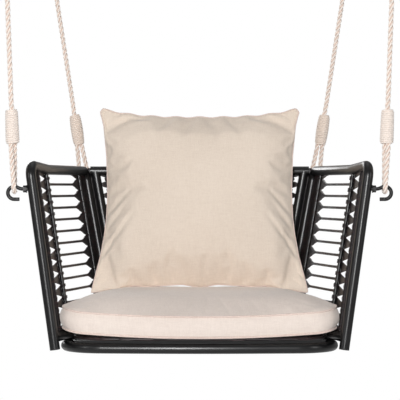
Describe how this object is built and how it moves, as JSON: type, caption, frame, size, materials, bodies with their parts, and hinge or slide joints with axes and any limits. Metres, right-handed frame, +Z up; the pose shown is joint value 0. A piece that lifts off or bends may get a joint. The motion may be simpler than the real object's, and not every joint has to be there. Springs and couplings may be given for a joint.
{
  "type": "hanging rope seat swing",
  "caption": "Single garden swing seat of bent steel tube laced with rattan, with a seat cushion and a back pillow, hung by twisted ropes from ceiling hooks.",
  "frame": {"origin": "on the ceiling plane, midway between the four ceiling hooks", "axes": "+Z up, +X to the right seen from in front of the seat, the seat faces -Y"},
  "size_m": [0.896, 0.5534, 0.9935],
  "materials": {
    "frame_tube": "satin",
    "frame_rod": "satin",
    "rattan": "satin",
    "hook_steel": "satin",
    "fastener": "satin",
    "cap_plastic": "matte",
    "rope": "twisted cotton",
    "whipping": "wound cord",
    "cushion_fabric": "plain weave",
    "pillow_fabric": "plain weave"
  },
  "bodies": {
    "ceiling_mounts": {"front_left_ceiling_hook": "hook_steel", "front_right_ceiling_hook": "hook_steel", "rear_left_ceiling_hook": "hook_steel", "rear_right_ceiling_hook": "hook_steel"},
    "front_ropes": {"front_left_rope": "rope", "front_left_lower_whipping": "whipping", "front_left_upper_whipping": "whipping", "front_right_rope": "rope", "front_right_lower_whipping": "whipping", "front_right_upper_whipping": "whipping"},
    "rear_ropes": {"rear_left_rope": "rope", "rear_left_lower_whipping": "whipping", "rear_left_upper_whipping": "whipping", "rear_right_rope": "rope", "rear_right_lower_whipping": "whipping", "rear_right_upper_whipping": "whipping"},
    "seat": {"left_side_frame": "frame_tube", "right_side_frame": "frame_tube", "back_frame": "frame_tube", "seat_ring": "frame_tube", "seat_cross_bars": "frame_tube", "left_front_rod": "frame_rod", "left_second_rod": "frame_rod", "left_rear_rod": "frame_rod", "left_side_weave": "rattan", "back_left_rod": "frame_rod", "left_seat_bolts": "fastener", "left_seat_nuts": "fastener", "left_back_bolts": "fastener", "left_back_nuts": "fastener", "right_front_rod": "frame_rod", "right_second_rod": "frame_rod", "right_rear_rod": "frame_rod", "right_side_weave": "rattan", "back_right_rod": "frame_rod", "right_seat_bolts": "fastener", "right_seat_nuts": "fastener", "right_back_bolts": "fastener", "right_back_nuts": "fastener", "back_weave": "rattan", "seat_deck_weave": "rattan", "front_left_foot_cap": "cap_plastic", "front_left_hook_bolt": "hook_steel", "front_left_hook_washer": "hook_steel", "front_left_hook_nut": "hook_steel", "front_right_foot_cap": "cap_plastic", "front_right_hook_bolt": "hook_steel", "front_right_hook_washer": "hook_steel", "front_right_hook_nut": "hook_steel", "rear_left_foot_cap": "cap_plastic", "rear_left_hook_bolt": "hook_steel", "rear_left_hook_washer": "hook_steel", "rear_left_hook_nut": "hook_steel", "rear_right_foot_cap": "cap_plastic", "rear_right_hook_bolt": "hook_steel", "rear_right_hook_washer": "hook_steel", "rear_right_hook_nut": "hook_steel"},
    "seat_cushion_body": {"seat_cushion": "cushion_fabric"},
    "back_cushion_body": {"back_cushion": "pillow_fabric"}
  },
  "joints": [
    {"name": "front_rope_swing", "type": "hinge", "parent": "ceiling_mounts", "child": "front_ropes", "pos_m": [0, -0.24474, -0.0405], "axis": [1, 0, 0], "range_deg": [-25, 25]},
    {"name": "rear_rope_swing", "type": "hinge", "parent": "ceiling_mounts", "child": "rear_ropes", "pos_m": [0, 0.24474, -0.0405], "axis": [1, 0, 0], "range_deg": [-25, 25]},
    {"name": "seat_swing", "type": "hinge", "parent": "front_ropes", "child": "seat", "pos_m": [0, -0.24474, -0.63], "axis": [1, 0, 0], "range_deg": [-25, 25]},
    {"name": "seat_cushion_lift_out", "type": "slide", "parent": "seat", "child": "seat_cushion_body", "axis": [0, -0.9659, 0.2588], "range_m": [0, 0.25]},
    {"name": "back_cushion_tip", "type": "hinge", "parent": "seat_cushion_body", "child": "back_cushion_body", "pos_m": [0, 0.06189, -0.869], "axis": [1, 0, 0], "range_deg": [0, 45]}
  ],
  "couplings": [
    {"joint": "rear_rope_swing", "follows": "front_rope_swing", "ratio": 1},
    {"joint": "seat_swing", "follows": "front_rope_swing", "ratio": -1}
  ]
}
